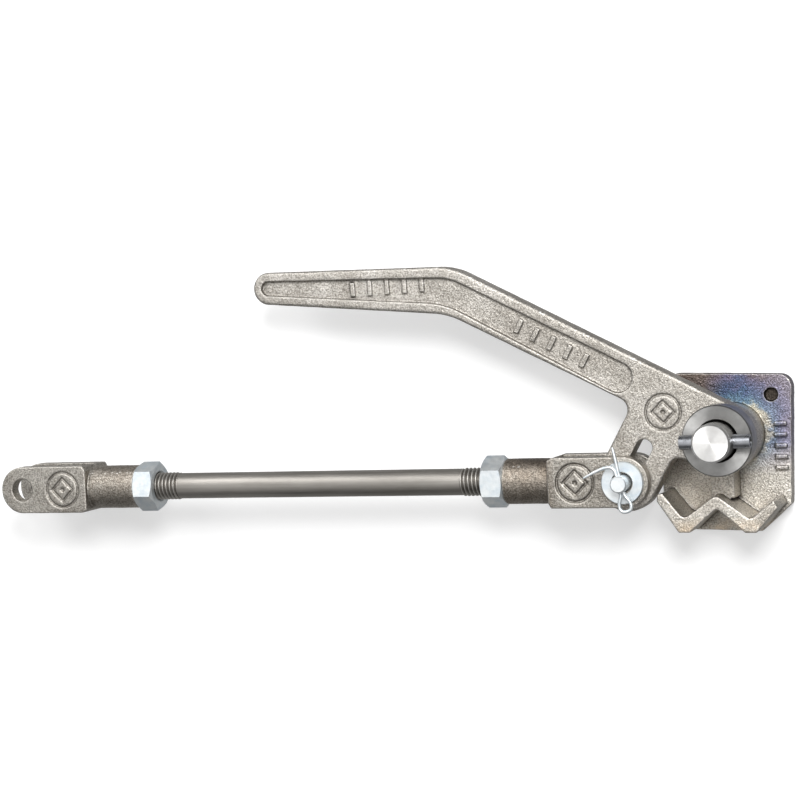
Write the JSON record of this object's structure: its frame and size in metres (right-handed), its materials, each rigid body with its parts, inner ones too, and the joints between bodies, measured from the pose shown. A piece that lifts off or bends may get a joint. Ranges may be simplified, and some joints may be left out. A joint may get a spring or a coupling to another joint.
{
  "type": "load binder",
  "caption": "Cast lever on a foot plate with a W shaped seat, pulling a threaded rod with a fork at each end.",
  "frame": {"origin": "on the main pin's axis, on the back face of the foot plate", "axes": "+X from the far fork towards the foot plate, along the rod; +Z out of the plate's back, along the main pin; +Y towards the handle"},
  "size_m": [0.4066, 0.1334, 0.0595],
  "materials": {
    "cast_plate": "sand cast steel, blasted, heat tinted blue and brown round the boss",
    "cast_steel": "sand cast steel, blasted, fine grain",
    "cast_fork": "sand cast steel, brownish on the barrels",
    "turned_steel": "turned bright steel",
    "spring_steel": "dark oiled spring steel",
    "rod_steel": "drawn bar, dark, rolled threads",
    "zinc": "bright zinc plate",
    "weld": "weld bead, ground flush"
  },
  "bodies": {
    "foot": {"base_plate": "cast_plate", "main_pin": "turned_steel", "pin_weld": "weld", "roll_pin": "spring_steel"},
    "lever": {"lever": "cast_steel"},
    "collar": {"retaining_ring": "turned_steel"},
    "pin": {"clevis_pin": "zinc", "split_pin": "zinc"},
    "washer": {"clevis_washer": "zinc"},
    "fork": {"lever_clevis": "cast_fork"},
    "rod": {"tie_rod": "rod_steel"},
    "lever_nut": {"lever_locknut": "zinc"},
    "end_nut": {"end_locknut": "zinc"},
    "end_fork": {"end_clevis": "cast_fork"}
  },
  "joints": [
    {"name": "lever_swing", "type": "hinge", "parent": "foot", "child": "lever", "pos_m": [0, 0, 0.028], "axis": [0, 0, 1], "range_deg": [-150, 0]},
    {"name": "collar_spin", "type": "hinge", "parent": "foot", "child": "collar", "pos_m": [0, 0, 0.039], "axis": [0, 0, 1], "continuous": true},
    {"name": "pin_slide", "type": "slide", "parent": "lever", "child": "pin", "axis": [0.497, 0.8678, 0], "range_m": [0, 0.0176]},
    {"name": "washer_spin", "type": "hinge", "parent": "pin", "child": "washer", "pos_m": [-0.046, -0.019, 0.042], "axis": [0, 0, 1], "continuous": true},
    {"name": "rod_swing", "type": "hinge", "parent": "pin", "child": "fork", "pos_m": [-0.046, -0.019, 0.028], "axis": [0, 0, 1], "range_deg": [-22, 60]},
    {"name": "rod_screw", "type": "slide", "parent": "fork", "child": "rod", "axis": [-1, 0, 0], "range_m": [0, 0.01]},
    {"name": "lever_nut_travel", "type": "slide", "parent": "rod", "child": "lever_nut", "axis": [-1, 0, 0], "range_m": [0, 0.009]},
    {"name": "end_nut_travel", "type": "slide", "parent": "rod", "child": "end_nut", "axis": [1, 0, 0], "range_m": [0, 0.011]},
    {"name": "end_fork_screw", "type": "slide", "parent": "rod", "child": "end_fork", "axis": [-1, 0, 0], "range_m": [0, 0.01]}
  ]
}
